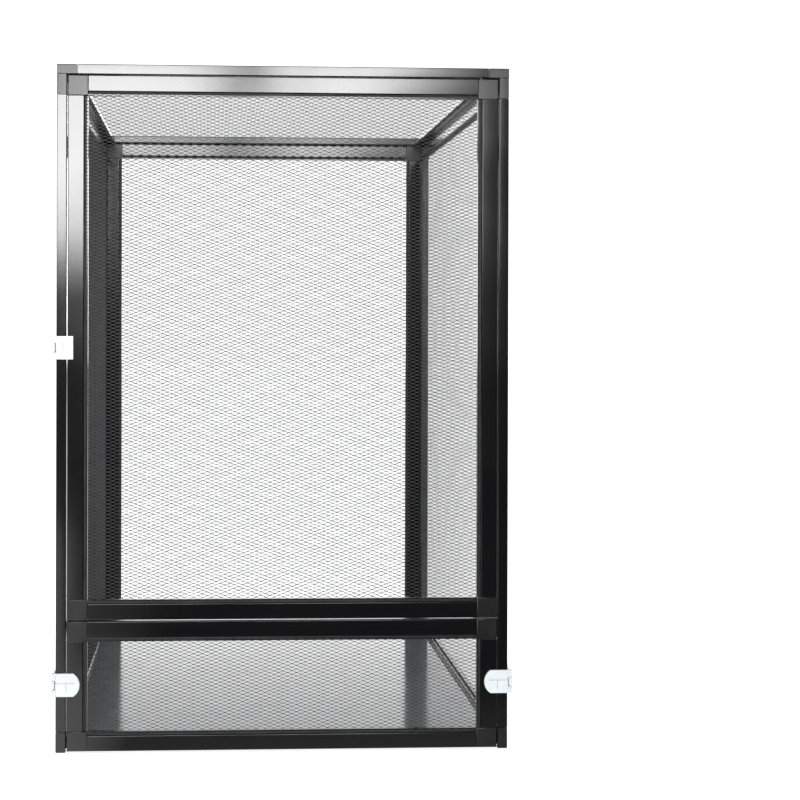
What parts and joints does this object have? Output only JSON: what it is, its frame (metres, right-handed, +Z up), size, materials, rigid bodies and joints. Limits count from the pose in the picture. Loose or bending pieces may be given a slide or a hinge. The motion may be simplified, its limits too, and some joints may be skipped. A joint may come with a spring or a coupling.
{
  "type": "mesh reptile cage",
  "caption": "Upright framed mesh cage for climbing reptiles, with a tall side-hung upper door, a drop-down lower door across the front and milky white hinged latches.",
  "frame": {"origin": "middle of the base, on the ground, at the middle of the frame's width and depth", "axes": "+Z up, -Y out of the front where the doors are, +X to the right seen from the front"},
  "size_m": [0.4592, 0.4525, 0.68],
  "materials": {
    "frame": "satin black powder coat",
    "corner": "fine-textured dark grey",
    "mesh": "black coated expanded metal",
    "spline": "matte black",
    "sheet": "polished black",
    "latch": "milky white, slightly translucent",
    "steel": "zinc plated"
  },
  "bodies": {
    "cage": {"top_front_rail": "frame", "top_back_rail": "frame", "top_left_rail": "frame", "top_right_rail": "frame", "top_corners": "corner", "top_mesh": "mesh", "top_spline": "spline", "left_front_stile": "frame", "left_back_stile": "frame", "left_top_rail": "frame", "left_bottom_rail": "frame", "left_corners": "corner", "left_mesh": "mesh", "left_spline": "spline", "right_front_stile": "frame", "right_back_stile": "frame", "right_top_rail": "frame", "right_bottom_rail": "frame", "right_corners": "corner", "right_mesh": "mesh", "right_spline": "spline", "back_left_stile": "frame", "back_right_stile": "frame", "back_top_rail": "frame", "back_bottom_rail": "frame", "back_corners": "corner", "back_mesh": "mesh", "back_spline": "spline", "floor_front_rail": "frame", "floor_back_rail": "frame", "floor_left_rail": "frame", "floor_right_rail": "frame", "floor_corners": "corner", "floor_sheet": "sheet", "hinge_bracket": "steel", "bracket_rivets": "steel", "upper_door_pins": "steel", "lower_door_pins": "steel", "panel_screws": "steel"},
    "upper_door": {"upper_door_left_stile": "frame", "upper_door_right_stile": "frame", "upper_door_top_rail": "frame", "upper_door_bottom_rail": "frame", "upper_door_corners": "corner", "upper_door_mesh": "mesh", "upper_door_spline": "spline", "upper_latch_base": "latch"},
    "lower_door": {"lower_door_left_stile": "frame", "lower_door_right_stile": "frame", "lower_door_top_rail": "frame", "lower_door_bottom_rail": "frame", "lower_door_corners": "corner", "lower_door_mesh": "mesh", "lower_door_spline": "spline", "lower_left_latch_base": "latch", "lower_right_latch_base": "latch"},
    "upper_latch": {"upper_latch_flap": "latch"},
    "lower_left_latch": {"lower_left_latch_flap": "latch"},
    "lower_right_latch": {"lower_right_latch_flap": "latch"}
  },
  "joints": [
    {"name": "upper_door_hinge", "type": "hinge", "parent": "cage", "child": "upper_door", "pos_m": [0.198, -0.22, 0.4], "axis": [0, 0, 1], "range_deg": [0, 120]},
    {"name": "lower_door_hinge", "type": "hinge", "parent": "cage", "child": "lower_door", "pos_m": [0, -0.2225, 0.0028], "axis": [1, 0, 0], "range_deg": [0, 85]},
    {"name": "upper_latch_hinge", "type": "hinge", "parent": "upper_door", "child": "upper_latch", "pos_m": [-0.2276, -0.2255, 0.39985], "axis": [0, 0, 1], "range_deg": [0, 90]},
    {"name": "lower_left_latch_hinge", "type": "hinge", "parent": "lower_door", "child": "lower_left_latch", "pos_m": [-0.2276, -0.2255, 0.0673], "axis": [0, 0, 1], "range_deg": [0, 90]},
    {"name": "lower_right_latch_hinge", "type": "hinge", "parent": "lower_door", "child": "lower_right_latch", "pos_m": [0.2276, -0.2255, 0.0673], "axis": [0, 0, -1], "range_deg": [0, 90]}
  ]
}
